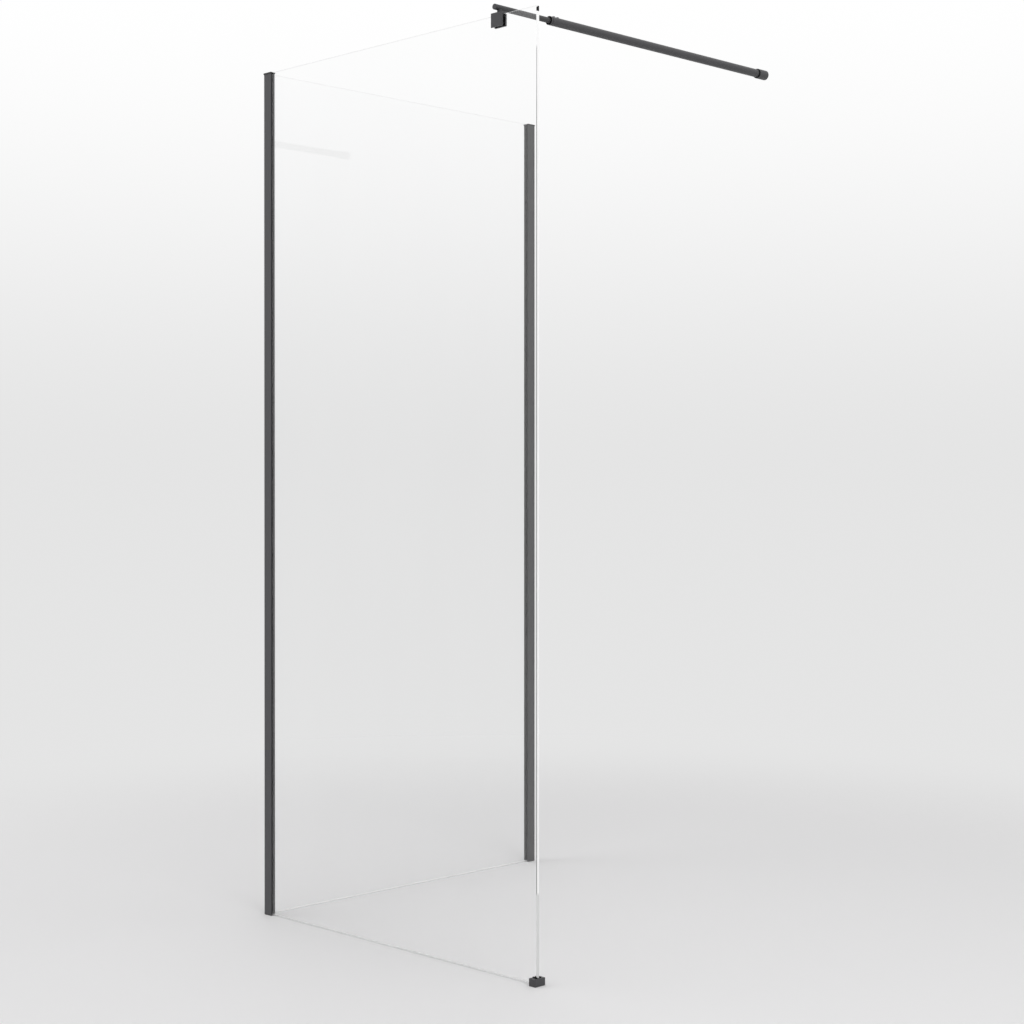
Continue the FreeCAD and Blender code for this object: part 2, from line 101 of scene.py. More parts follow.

# The painted reflection of the clamp in the free edge, in metres: softness of its outline, distance from
# the edge at which it starts and is full, depth of its lower end below the top of the glass, and for its
# upper end the height above the top at the rear face and the slope across the glass
CLAMP_REFLECTION_SOFTNESS = 0.0004
CLAMP_REFLECTION_INSET = (0.002, 0.0015)
CLAMP_REFLECTION_DEPTH = 0.0114
CLAMP_REFLECTION_RISE = 0.0016
CLAMP_REFLECTION_SLOPE = 0.65

# Surfaces that more than one finish has, with sizes in metres
EXTRUSION_SURFACE = {"roughness": 0.46, "grain_size": 0.0007, "grain_depth": 0.000012}
BAR_SURFACE = {
    "roughness": 0.42, "grain_size": 0.0005, "grain_depth": 0.000009, "drift_size": (0.03, 0.2, 0.03),
}
RUBBER_SURFACE = {"roughness": 0.62, "grain_size": 0.0004, "grain_depth": 0.00001, "tone_drift": 0.2}

# Sockets of the shared texture, and the shader's sockets that its outputs feed
TEXTURE_INPUTS = {
    "Colour": "NodeSocketColor",
    "Tone Drift": "NodeSocketFloat",
    "Roughness": "NodeSocketFloat",
    "Gloss Drift": "NodeSocketFloat",
    "Grain Size": "NodeSocketVector",
    "Drift Size": "NodeSocketVector",
    "Grain Depth": "NodeSocketFloat",
}
TEXTURE_OUTPUTS = {
    "Colour": "NodeSocketColor",
    "Roughness": "NodeSocketFloat",
    "Normal": "NodeSocketVector",
}
SHADER_SOCKETS = {"Colour": "Base Color", "Roughness": "Roughness", "Normal": "Normal"}

# Places of the sockets of a Mix node that mixes colours
MIX_FACTOR, MIX_FIRST, MIX_SECOND, MIX_RESULT = 0, 6, 7, 2

# Flats around the rim of the floor
FLOOR_STEPS = 96
# Width of the camera's frame, in millimetres
FRAME_WIDTH = 36.0


class ShowerSizes(bpy.types.PropertyGroup):
    """Roundings, gaps and steps of the pieces that are shaped here."""

    glass_arris: FloatProperty(
        name="Glass arris", description="Ground chamfer along every glass edge",
        default=0.001, min=0.0002, unit="LENGTH",
    )
    block_corner: FloatProperty(
        name="Block corner", description="Rounding of the upright corners of clamp and foot",
        default=0.0006, min=0.0002, unit="LENGTH",
    )
    block_edge: FloatProperty(
        name="Block edge", description="Rounding of the top edges of clamp and foot",
        default=0.0004, min=0.0001, unit="LENGTH",
    )
    foot_liner: FloatProperty(
        name="Foot liner", description="Thickness of the soft liner between glass and foot",
        default=0.0007, min=0.0001, unit="LENGTH",
    )
    rim: FloatProperty(
        name="Rim", description="Rounding of the rims of the turned pieces on the bar",
        default=0.0006, min=0.0001, unit="LENGTH",
    )
    ring_rim: FloatProperty(
        name="Ring rim", description="Rounding of the soft ring in the socket's mouth",
        default=0.0003, min=0.0001, unit="LENGTH",
    )
    collar_length: FloatProperty(
        name="Collar length", description="Collar of the guide bush, in front of the tube",
        default=0.005, min=0.001, unit="LENGTH",
    )
    running_gap: FloatProperty(
        name="Running gap", description="Play around the rod and the lock screws in the guide bush",
        default=0.00005, min=0.00001, unit="LENGTH",
    )
    ring_gap: FloatProperty(
        name="Ring gap", description="Play of the soft ring in its seat and on the tube",
        default=0.0001, min=0.00001, unit="LENGTH",
    )
    socket_gap: FloatProperty(
        name="Socket gap", description="Play of the tube in the wall socket",
        default=0.0002, min=0.00001, unit="LENGTH",
    )
    round_steps: IntProperty(
        name="Round steps", description="Flats around a turned piece", default=72, min=24, max=160,
    )
    hole_steps: IntProperty(
        name="Hole steps", description="Flats around a screw hole", default=32, min=12, max=96,
    )


class ShowerFinish(bpy.types.PropertyGroup):
    """Colours of the finishes, and the painted light, shade and reflections on the glass edges, the back
    seal, the wall profile and the rod.
    """

    coat: FloatVectorProperty(
        name="Coat", description="Matte black powder coat of the tube and the fittings",
        default=(0.0455, 0.045, 0.0485), subtype="COLOR", min=0, max=1,
    )
    corner_coat: FloatVectorProperty(
        name="Corner coat", description="Powder coat of the corner profile",
        default=(0.0575, 0.057, 0.0615), subtype="COLOR", min=0, max=1,
    )
    # Painted shade: a darker copy of the powder coat, for the shade near the wall
    wall_coat_painted_shade: FloatVectorProperty(
        name="Wall coat", description="Powder coat of the wall profile",
        default=(0.036, 0.036, 0.038), subtype="COLOR", min=0, max=1,
    )
    # Painted shade: a darker copy of the bar's powder coat on the slim rod
    rod_coat_painted_shade: FloatVectorProperty(
        name="Rod coat", description="Powder coat of the slim rod",
        default=(0.036, 0.036, 0.038), subtype="COLOR", min=0, max=1,
    )
    plastic: FloatVectorProperty(
        name="Plastic", description="Moulded caps",
        default=(0.030, 0.030, 0.031), subtype="COLOR", min=0, max=1,
    )
    rubber: FloatVectorProperty(
        name="Rubber", description="Outer and front seals, foot liner, clamp pads and socket ring",
        default=(0.007, 0.007, 0.0073), subtype="COLOR", min=0, max=1,
    )
    grey_rubber: FloatVectorProperty(
        name="Grey rubber", description="Inner wedge seals of the side panel",
        default=(0.042, 0.042, 0.043), subtype="COLOR", min=0, max=1,
    )
    lit_rubber: FloatVectorProperty(
        name="Lit rubber", description="Faces of the seal behind the front panel, lit through the glass",
        default=(0.30, 0.30, 0.304), subtype="COLOR", min=0, max=1,
    )
    nylon: FloatVectorProperty(
        name="Nylon", description="Guide bush and glide",
        default=(0.006, 0.006, 0.0063), subtype="COLOR", min=0, max=1,
    )
    steel: FloatVectorProperty(
        name="Blackened steel", description="Small screws",
        default=(0.080, 0.080, 0.084), subtype="COLOR", min=0, max=1,
    )
    bare_metal: FloatVectorProperty(
        name="Bare metal", description="Turned base inside the socket",
        default=(0.56, 0.57, 0.58), subtype="COLOR", min=0, max=1,
    )
    glass: FloatVectorProperty(
        name="Glass", description="Body tint of the clear glass",
        default=(0.988, 0.989, 0.989), subtype="COLOR", min=0, max=1,
    )
    # Ground finish of the edge, brightened with painted light that the sheet pipes to it
    glass_edge: FloatVectorProperty(
        name="Glass edge", description="Ground and polished edge of the glass",
        default=(0.97, 0.972, 0.972), subtype="COLOR", min=0, max=1,
    )
    # Painted shade: dark arris line along an upright edge
    arris_painted_shade: FloatVectorProperty(
        name="Upright arris", description="Dark arris line between an upright edge and a face",
        default=(0.20, 0.203, 0.203), subtype="COLOR", min=0, max=1,
    )
    # Painted light: the upright arris line made paler near the top
    high_arris_painted_light: FloatVectorProperty(
        name="High arris", description="Paler arris line near the top of an upright edge",
        default=(0.40, 0.405, 0.405), subtype="COLOR", min=0, max=1,
    )
    # Painted shade: faint arris line along the top of the front panel
    front_level_arris_painted_shade: FloatVectorProperty(
        name="Front level arris", description="Arris line along the top of the front panel",
        default=(0.86, 0.865, 0.865), subtype="COLOR", min=0, max=1,
    )
    # Painted shade: faint arris line along the top of the side panel
    side_level_arris_painted_shade: FloatVectorProperty(
        name="Side level arris", description="Arris line along the top of the side panel",
        default=(0.98, 0.982, 0.982), subtype="COLOR", min=0, max=1,
    )
    # Painted reflection of the floor on the lowest stretch of the front panel's edges
    front_low_edge_painted_reflection: FloatVectorProperty(
        name="Front edge low", description="Tone of the lowest stretch of the front panel's edges",
        default=(0.71, 0.714, 0.714), subtype="COLOR", min=0, max=1,
    )
    # Painted reflection of the floor on the lowest stretch of the side panel's edges
    side_low_edge_painted_reflection: FloatVectorProperty(
        name="Side edge low", description="Tone of the lowest stretch of the side panel's edges",
        default=(0.97, 0.972, 0.972), subtype="COLOR", min=0, max=1,
    )
    # Painted reflection: the clamp's dark image inside the free edge
    painted_clamp_reflection: FloatVectorProperty(
        name="Clamp image", description="The clamp's dark image inside the free edge, near its top",
        default=(0.006, 0.006, 0.0063), subtype="COLOR", min=0, max=1,
    )
    strip: FloatVectorProperty(
        name="Clear strip", description="Soft strips under the glass",
        default=(0.90, 0.905, 0.905), subtype="COLOR", min=0, max=1,
    )
    block: FloatVectorProperty(
        name="Setting block", description="Plastic blocks under the glass",
        default=(0.10, 0.10, 0.105), subtype="COLOR", min=0, max=1,
    )


class ShowerStage(bpy.types.PropertyGroup):
    """Camera, light and backdrop."""

    camera_place: FloatVectorProperty(
        name="Camera place", description="Eye point of the main view",
        default=(3.533, -3.617, 1.0225), subtype="TRANSLATION", unit="LENGTH",
    )
    camera_turn: FloatProperty(
        name="Camera turn", description="Turn of the view about the upright axis",
        default=math.radians(44.996), subtype="ANGLE", unit="ROTATION",
    )
    camera_tilt: FloatProperty(
        name="Camera tilt", description="Tilt of the view below the horizon",
        default=math.radians(0.242), subtype="ANGLE", unit="ROTATION",
    )
    lens: FloatProperty(
        name="Lens", description="Focal length of the main view", default=65.28, unit="CAMERA",
    )
    shift_up: FloatProperty(
        name="Shift", description="Upward shift of the frame, in frame widths", default=-0.0189,
    )
    floor: FloatVectorProperty(
        name="Floor", description="Pale floor",
        default=(0.90, 0.895, 0.90), subtype="COLOR", min=0, max=1,
    )
    floor_radius: FloatProperty(
        name="Floor radius", description="Reach of the floor around the screen",
        default=14.0, min=1.0, unit="LENGTH",
    )
    fade_start: FloatProperty(
        name="Fade start", description="Distance from the middle of the floor at which it starts to fade",
        default=0.9, min=0, unit="LENGTH",
    )
    fade_end: FloatProperty(
        name="Fade end", description="Distance from the middle at which the floor has the horizon's tone",
        default=3.2, min=0, unit="LENGTH",
    )
    horizon: FloatVectorProperty(
        name="Horizon", description="Tone that the floor runs out to, and the background's at eye level",
        default=(0.78, 0.78, 0.78), subtype="COLOR", min=0, max=1,
    )
    white_above: FloatProperty(
        name="White above", description="Height angle above which the background is white",
        default=math.radians(15), subtype="ANGLE", unit="ROTATION",
    )
    sky: FloatProperty(
        name="Sky", description="Strength of the even light from all round", default=0.62, min=0,
    )
    key: FloatProperty(
        name="Key", description="Power of the stronger lamp", default=70.0, min=0, unit="POWER",
    )
    key_place: FloatVectorProperty(
        name="Key place", description="Place of the stronger lamp",
        default=(4.2, -2.2, 3.6), subtype="TRANSLATION", unit="LENGTH",
    )
    fill: FloatProperty(
        name="Fill", description="Power of the weaker lamp on the other side",
        default=34.0, min=0, unit="POWER",
    )
    fill_place: FloatVectorProperty(
        name="Fill place", description="Place of the weaker lamp",
        default=(-3.0, -3.6, 2.6), subtype="TRANSLATION", unit="LENGTH",
    )
    lamp_size: FloatProperty(
        name="Lamp size", description="Diameter of the two soft lamps", default=3.0, min=0.1, unit="LENGTH",
    )


# Settings and places

def sizes():
    return bpy.context.scene.shower_sizes


def finishes():
    return bpy.context.scene.shower_finish


def colour(value):
    """A colour setting with full alpha."""
    return (value[0], value[1], value[2], 1.0)


def span(node):
    """Lowest and highest corner of a CAD node."""
    low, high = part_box(node)
    return Vector(low), Vector(high)


def bar_axis():
    """X and Z of the bar's axis, from the box of its tube."""
    low, high = span("outer_tube")
    return (low.x + high.x) / 2, (low.z + high.z) / 2


def half_width(node):
    """Half of a node's width along X, the radius of a round one."""
    low, high = span(node)
    return (high.x - low.x) / 2


def in_scene(name, data):
    """New object in the scene for a mesh, a light or a camera."""
    made = bpy.data.objects.new(name, data)
    bpy.context.scene.collection.objects.link(made)
    return made


# Node helpers

def feed(tree, value, socket):
    """Joins an output to a socket, or sets a plain value on it."""
    if isinstance(value, bpy.types.NodeSocket):
        tree.links.new(value, socket)
    else:
        socket.default_value = value


def add_node(tree, kind, inputs=None, **settings):
    """A new node with its settings; the inputs named get plain values or outputs of other nodes."""
    node = tree.nodes.new(kind)
    for name, value in settings.items():
        setattr(node, name, value)
    for name, value in (inputs or {}).items():
        feed(tree, value, node.inputs[name])
    return node


def reckon(tree, operation, *values):
    """Result of a Math node on outputs and plain numbers."""
    return add_node(tree, "ShaderNodeMath", dict(enumerate(values)), operation=operation).outputs[0]


def ramp(tree, value, start, end, shape="LINEAR"):
    """0 up to a start value and 1 from an end value on."""
    limits = {"Value": value, "From Min": start, "From Max": end}
    node = add_node(tree, "ShaderNodeMapRange", limits, interpolation_type=shape, clamp=True)
    return node.outputs["Result"]


def split(tree, vector):
    """X, Y and Z outputs of a vector."""
    return tuple(add_node(tree, "ShaderNodeSeparateXYZ", {"Vector": vector}).outputs)


def mixed(tree, factor, first, second):
    """Colour between two by a factor; each colour is plain or an output."""
    colours = {MIX_FACTOR: factor, MIX_FIRST: first, MIX_SECOND: second}
    return add_node(tree, "ShaderNodeMix", colours, data_type="RGBA").outputs[MIX_RESULT]


def mix_shaders(tree, factor, first, second, output):
    """Ends a tree in a mix of two shaders by a factor."""
    mix = add_node(tree, "ShaderNodeMixShader", {"Fac": factor, 1: first, 2: second})
    feed(tree, mix.outputs["Shader"], output.inputs["Surface"])


def object_place(tree):
    """Place of a surface point in the piece's own coordinates."""
    return add_node(tree, "ShaderNodeTexCoord").outputs["Object"]


def face_turn(tree):
    """How squarely a face looks along X, Y and Z, each from 0 to 1."""
    normal = add_node(tree, "ShaderNodeNewGeometry").outputs["True Normal"]
    size = add_node(tree, "ShaderNodeVectorMath", {0: normal}, operation="ABSOLUTE")
    return split(tree, size.outputs["Vector"])


def noise(tree, size, detail):
    """Noise whose features have a size along each axis, in metres."""
    place = {0: object_place(tree), 1: size}
    scaled = add_node(tree, "ShaderNodeVectorMath", place, operation="DIVIDE").outputs["Vector"]
    settings = {"Vector": scaled, "Scale": 1.0, "Detail": detail}
    return add_node(tree, "ShaderNodeTexNoise", settings).outputs["Fac"]


def coat_texture():
    """Group: fine peel of a coat or mould with slow drifts of tone and gloss."""
    tree = bpy.data.node_groups.get("coat_texture")
    if tree:
        return tree
    tree = bpy.data.node_groups.new("coat_texture", "ShaderNodeTree")
    for way, sockets in (("INPUT", TEXTURE_INPUTS), ("OUTPUT", TEXTURE_OUTPUTS)):
        for name, kind in sockets.items():
            tree.interface.new_socket(name=name, in_out=way, socket_type=kind)
    given = add_node(tree, "NodeGroupInput").outputs
    grain = noise(tree, given["Grain Size"], detail=3.0)
    drift = noise(tree, given["Drift Size"], detail=2.0)
    peel = {"Strength": 1.0, "Height": grain, "Distance": given["Grain Depth"]}
    bump = add_node(tree, "ShaderNodeBump", peel)
    # Each noise swings about one half, so that their sum swings about one
    swing = reckon(tree, "SUBTRACT", reckon(tree, "ADD", drift, grain), 1.0)
    tone = reckon(tree, "MULTIPLY_ADD", swing, given["Tone Drift"], 1.0)
    tint = {0: given["Colour"], "Scale": tone}
    toned = add_node(tree, "ShaderNodeVectorMath", tint, operation="SCALE")
    gloss = reckon(tree, "MULTIPLY_ADD", swing, given["Gloss Drift"], given["Roughness"])
    add_node(tree, "NodeGroupOutput", {
        "Colour": toned.outputs["Vector"], "Roughness": gloss, "Normal": bump.outputs["Normal"],
    })
    return tree


# Finishes

def new_material(name, values):
    """A node material with its output and a Principled shader that has plain values on some sockets."""
    material = bpy.data.materials.new(name)
    material.use_nodes = True
    tree = material.node_tree
    tree.nodes.clear()
    output = add_node(tree, "ShaderNodeOutputMaterial")
    shader = add_node(tree, "ShaderNodeBsdfPrincipled", values)
    feed(tree, shader.outputs["BSDF"], output.inputs["Surface"])
    return material, tree, shader, output


def lay_texture(tree, shader, tint, values, fed=tuple(SHADER_SOCKETS)):
    """Lays the shared texture on a shader, with a tint and values for the texture's other inputs."""
    texture = add_node(tree, "ShaderNodeGroup", {"Colour": tint, **values}, node_tree=coat_texture())
    for name in fed:
        feed(tree, texture.outputs[name], shader.inputs[SHADER_SOCKETS[name]])


def coated(name, tint, roughness, grain_size, grain_depth, tone_drift=0.12, gloss_drift=0.08,
           drift_size=(0.06, 0.06, 0.3), metallic=0.0, shine=0.5):
    """A solid finish with the shared texture, made once.

    Its tint is a colour setting or a function that makes a colour in a node tree.
    """
    material = bpy.data.materials.get(name)
    if material:
        return material
    material, tree, shader, _ = new_material(name, {"Metallic": metallic, "Specular IOR Level": shine})
    lay_texture(tree, shader, tint(tree) if callable(tint) else colour(tint), {
        "Tone Drift": tone_drift, "Drift Size": drift_size,
        "Roughness": roughness, "Gloss Drift": gloss_drift,
        "Grain Size": (grain_size,) * 3, "Grain Depth": grain_depth,
    })
    return material


def corner_coat():
    return coated("coated_corner_extrusion", finishes().corner_coat, **EXTRUSION_SURFACE)


# Painted shade: the wall profile's coat is darker, for the shade near the wall
def wall_coat_painted_shade():
    return coated("wall_extrusion_painted_shade", finishes().wall_coat_painted_shade, **EXTRUSION_SURFACE)


def fitting_coat():
    return coated("coated_fitting", finishes().coat, roughness=0.44,
                  grain_size=0.0005, grain_depth=0.000009, drift_size=(0.02, 0.02, 0.02))


# Painted shade: darker copy of the bar's coat
def rod_coat_painted_shade():
    return coated("coated_rod_painted_shade", finishes().rod_coat_painted_shade, **BAR_SURFACE)


def bar_coat():
    return coated("coated_bar", finishes().coat, **BAR_SURFACE)


def cap_plastic():
    return coated("moulded_cap", finishes().plastic, roughness=0.52,
                  grain_size=0.0003, grain_depth=0.000012, drift_size=(0.01, 0.01, 0.01))


def block_plastic():
    return coated("setting_block", finishes().block, roughness=0.5,
                  grain_size=0.0006, grain_depth=0.00001, drift_size=(0.01, 0.01, 0.01))


def soft_rubber():
    return coated("soft_rubber", finishes().rubber, shine=0.1, **RUBBER_SURFACE)


def grey_rubber():
    return coated("grey_rubber", finishes().grey_rubber, **RUBBER_SURFACE)


def seal_painted_light_tone(tree):
    """Painted light: pale on the faces of a seal that lie along the front glass, for the light that falls
    through it, and dark at its ends.
    """
    along = ramp(tree, face_turn(tree)[Y], *SEAL_FACE)
    return mixed(tree, along, colour(finishes().rubber), colour(finishes().lit_rubber))


# Painted light: the back seal is pale on its faces along the glass
def lit_rubber():
    return coated("lit_rubber", seal_painted_light_tone, **RUBBER_SURFACE)


def bush_nylon():
    return coated("bush_nylon", finishes().nylon, roughness=0.40, shine=0.04,
                  grain_size=0.0006, grain_depth=0.000006, drift_size=(0.01, 0.01, 0.01))


def blackened_steel():
    return coated("blackened_steel", finishes().steel, roughness=0.36, metallic=1.0,
                  grain_size=0.0004, grain_depth=0.000004, drift_size=(0.002, 0.002, 0.002))


def turned_metal():
    return coated("turned_metal", finishes().bare_metal, roughness=0.30, metallic=1.0,
                  grain_size=0.0003, grain_depth=0.000004, drift_size=(0.02, 0.0004, 0.02))


def shadow_rays(tree):
    """1 for light on its way from a lamp or the sky, else 0."""
    return add_node(tree, "ShaderNodeLightPath").outputs["Is Shadow Ray"]


def pass_straight(tree, shader, output, mask):
    """Where the mask is 1 the piece lets light straight through, so that it throws no solid shadow."""
    clear = add_node(tree, "ShaderNodeBsdfTransparent")
    mix_shaders(tree, mask, shader.outputs["BSDF"], clear.outputs["BSDF"], output)


def clear_glass():
    """Float glass: clear, with the slow waviness of the sheet and a trace of wiping."""
    material, tree, shader, output = new_material("clear_float_glass", {
        "Roughness": 0.0, "IOR": 1.52, "Specular Tint": (0.8, 0.8, 0.8, 1.0), "Transmission Weight": 1.0,
    })
    lay_texture(tree, shader, colour(finishes().glass), {
        "Tone Drift": 0.012, "Drift Size": (0.12, 0.12, 0.5),
        "Grain Size": (0.35, 0.35, 0.6), "Grain Depth": 0.00002,
    }, fed=("Colour", "Normal"))
    pass_straight(tree, shader, output, shadow_rays(tree))
    return material


def upright_arris_painted_shade(tree, height):
    """Painted shade: dark line along an upright edge, made paler near its top with painted light, and lost
    in the last stretch below it.
    """
    depth = reckon(tree, "SUBTRACT", span("front_glass")[1].z, height)
    pale = ramp(tree, depth, *ARRIS_PALING)
    lost = ramp(tree, depth, *ARRIS_FADING)
    line = mixed(tree, pale, colour(finishes().arris_painted_shade), colour(finishes().high_arris_painted_light))
    return mixed(tree, lost, line, colour(finishes().glass_edge))


def edge_painted_light_and_shade(tree, height, level_arris_shade):
    """Painted light and shade on an edge: bright on its flat, the ground finish with painted light piped
    through the sheet, and painted shade on its arris lines, less on the level ones.
    """
    x, y, z = face_turn(tree)
    squarest = reckon(tree, "MAXIMUM", reckon(tree, "MAXIMUM", x, y), z)
    flat = ramp(tree, squarest, *FLAT_OF_EDGE)
    level = ramp(tree, z, *LEVEL_ARRIS)
    corner = mixed(tree, level, upright_arris_painted_shade(tree, height), colour(level_arris_shade))
    return mixed(tree, flat, corner, colour(finishes().glass_edge))


def painted_clamp_reflection(tree, place):
    """Mask of the clamp's painted reflection inside the free edge, with a slanted upper end."""
    corner = span("front_glass")[1]
    x, y, z = split(tree, place)
    inset = reckon(tree, "SUBTRACT", corner.x, x)
    across = reckon(tree, "SUBTRACT", corner.y, y)
    depth = reckon(tree, "SUBTRACT", corner.z, z)
    upper_end = reckon(tree, "MULTIPLY_ADD", across, CLAMP_REFLECTION_SLOPE, -CLAMP_REFLECTION_RISE)
    on_edge = ramp(tree, inset, *CLAMP_REFLECTION_INSET)
    below = ramp(tree, reckon(tree, "SUBTRACT", depth, upper_end), -CLAMP_REFLECTION_SOFTNESS, CLAMP_REFLECTION_SOFTNESS)
    above = ramp(tree, depth, CLAMP_REFLECTION_DEPTH + CLAMP_REFLECTION_SOFTNESS, CLAMP_REFLECTION_DEPTH - CLAMP_REFLECTION_SOFTNESS)
    return reckon(tree, "MULTIPLY", reckon(tree, "MULTIPLY", on_edge, below), above)


def ground_edge_painted_light(name, low_edge_reflection, level_arris_shade):
    """Edge of the glass: bright band of painted light between two arris lines of painted shade, with a
    painted reflection of the floor low down and of the clamp near the top; clear from inside the sheet.
    """
    material, tree, shader, output = new_material(name, {"Specular IOR Level": 0.15})
    place = object_place(tree)
    height = split(tree, place)[Z]
    # Painted reflection of the floor: the edges keep a low tone near the bottom
    raised = ramp(tree, height, *LOW_EDGE_END)
    tone = mixed(tree, raised, colour(low_edge_reflection), edge_painted_light_and_shade(tree, height, level_arris_shade))
    # Painted reflection of the clamp near the top of the free edge
    tone = mixed(tree, painted_clamp_reflection(tree, place), tone, colour(finishes().painted_clamp_reflection))
    lay_texture(tree, shader, tone, {
        "Tone Drift": 0.05, "Drift Size": (0.05, 0.05, 0.05),
        "Roughness": 0.16, "Gloss Drift": 0.08,
        "Grain Size": (0.0006, 0.0006, 0.0006), "Grain Depth": 0.000004,
    })
    inside = add_node(tree, "ShaderNodeNewGeometry").outputs["Backfacing"]
    pass_straight(tree, shader, output, reckon(tree, "MAXIMUM", shadow_rays(tree), inside))
    return material


def front_edge():
    return ground_edge_painted_light("front_glass_edge", finishes().front_low_edge_painted_reflection, finishes().front_level_arris_painted_shade)


def side_edge():
    return ground_edge_painted_light("side_glass_edge", finishes().side_low_edge_painted_reflection, finishes().side_level_arris_painted_shade)


def clear_strip():
    """Soft clear strip under the glass, slightly milky."""
    material, tree, shader, _ = new_material("clear_strip", {"Alpha": 0.2})
    lay_texture(tree, shader, colour(finishes().strip), {
        "Tone Drift": 0.06, "Drift Size": (0.08, 0.08, 0.08),
        "Roughness": 0.22, "Gloss Drift": 0.1,
        "Grain Size": (0.004, 0.004, 0.004), "Grain Depth": 0.00003,
    })
    return material


# Shape helpers

def block_shape(low, high):
    """Block between two corners."""
    bm = bmesh.new()
    bmesh.ops.create_cube(bm, size=1.0)
    bmesh.ops.scale(bm, vec=Vector(high) - Vector(low), verts=bm.verts)
    bmesh.ops.translate(bm, vec=(Vector(high) + Vector(low)) / 2, verts=bm.verts)
    return bm


def hole_cutter(centre, axis, radius, depth):
    """Round cutter for a screw hole, which goes a depth to either side of a centre point."""
    bm = bmesh.new()
    bmesh.ops.create_cone(
        bm, cap_ends=True, segments=sizes().hole_steps, radius1=radius, radius2=radius, depth=2 * depth,
    )
    direction = Vector((0, 0, 0))
    direction[axis] = 1
    turn = Vector((0, 0, 1)).rotation_difference(direction).to_matrix()
    bmesh.ops.rotate(bm, cent=(0, 0, 0), matrix=turn, verts=bm.verts)
    bmesh.ops.translate(bm, vec=centre, verts=bm.verts)
    return bm


def turned_shape(outline):
    """Solid turned about the bar's axis from a closed outline of (radius, y) points."""
    axis_x, axis_z = bar_axis()
    bm = bmesh.new()
    corners = [bm.verts.new((axis_x + radius, y, axis_z)) for radius, y in outline]
    sides = [bm.edges.new((corners[i - 1], corners[i])) for i in range(len(corners))]
    bmesh.ops.spin(
        bm, geom=corners + sides, cent=(axis_x, 0, axis_z), axis=(0, 1, 0), dvec=(0, 0, 0),
        angle=math.tau, steps=sizes().round_steps, use_merge=True, use_duplicate=False,
    )
    bmesh.ops.remove_doubles(bm, verts=bm.verts, dist=SAME_PLACE)
    bmesh.ops.dissolve_degenerate(bm, edges=bm.edges, dist=SAME_PLACE)
    bmesh.ops.recalc_face_normals(bm, faces=bm.faces)
    return bm


def round_edges(bm, edges, radius, steps=3):
    """Rounds edges, or chamfers them where there is one step."""
    bmesh.ops.bevel(
        bm, geom=list(edges), offset=radius, offset_type="OFFSET", affect="EDGES", segments=steps,
        profile=0.5, material=-1, clamp_overlap=True,
    )


def edges_along(bm, axis):
    """Straight edges parallel to an axis."""
    found = []
    for edge in bm.edges:
        step = edge.verts[1].co - edge.verts[0].co
        if abs(step[axis]) > FACING * step.length:
            found.append(edge)
    return found


def edges_at(bm, axis, value):
    """Edges that lie wholly in the plane where one coordinate has a value."""
    return [e for e in bm.edges if all(abs(v.co[axis] - value) < SAME_PLACE for v in e.verts)]


def rim_edges(bm, radius, y):
    """Edges of the circle of a turned shape at a radius and a place along the bar."""
    axis_x, axis_z = bar_axis()

    def on_rim(vert):
        off = math.hypot(vert.co.x - axis_x, vert.co.z - axis_z)
        return abs(off - radius) < SAME_PLACE and abs(vert.co.y - y) < SAME_PLACE

    return [e for e in bm.edges if on_rim(e.verts[0]) and on_rim(e.verts[1])]


def rounded_block(node):
    """Block of a node's size with rounded upright corners and top edges."""
    low, high = span(node)
    bm = block_shape(low, high)
    round_edges(bm, edges_along(bm, Z), sizes().block_corner, steps=4)
    round_edges(bm, edges_at(bm, Z, high.z), sizes().block_edge)
    return bm


def placed(bm, name):
    """Puts a shape in the scene as an object; the shape is used up."""
    mesh = bpy.data.meshes.new(name)
    bm.to_mesh(mesh)
    bm.free()
    return in_scene(name, mesh)


def carve(bm, cutters):
    """Takes the cutters out of a shape and returns what is left; all the shapes are used up."""
    work = placed(bm, "carve_work")
    tools = [placed(cutter, "carve_tool") for cutter in cutters]
    for tool in tools:
        cut = work.modifiers.new("carve", "BOOLEAN")
        cut.operation = "DIFFERENCE"
        cut.solver = "EXACT"
        cut.object = tool
    depsgraph = bpy.context.evaluated_depsgraph_get()
    left = bpy.data.meshes.new_from_object(work.evaluated_get(depsgraph))
    result = bmesh.new()
    result.from_mesh(left)
    bpy.data.meshes.remove(left)
    for made in [work] + tools:
        mesh = made.data
        bpy.data.objects.remove(made)
        bpy.data.meshes.remove(mesh)
    if not result.faces:
        raise RuntimeError("carving left nothing of the shape")
    bmesh.ops.remove_doubles(result, verts=result.verts, dist=SAME_PLACE)
    bmesh.ops.dissolve_degenerate(result, edges=result.edges, dist=SAME_PLACE)
    return result


def use_second_material(bm, test):
    """Gives the faces that pass a test the second material of a piece, and the others the first."""
    bm.normal_update()
    for face in bm.faces:
        face.material_index = int(test(face))


def new_piece(name, bm, body, materials, node, flat=False):
    """Puts a finished shape in the scene as a piece that rides on a body in place of a CAD node."""
    bmesh.ops.recalc_face_normals(bm, faces=bm.faces)
    for face in bm.faces:
        face.smooth = not flat
    for edge in bm.edges:
        edge.smooth = edge.is_manifold and edge.calc_face_angle(0.0) < SMOOTH_LIMIT
    piece = placed(bm, name)
    for material in materials:
        piece.data.materials.append(material)
    if not flat:
        even = piece.modifiers.new("even_normals", "WEIGHTED_NORMAL")
        even.keep_sharp = True
    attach(piece, body)
    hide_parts(node)


def dress(material, *nodes):
    """Gives a finish to CAD nodes whose shape stays."""
    for name in nodes:
        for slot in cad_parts[name].material_slots:
            slot.material = material


# Pieces

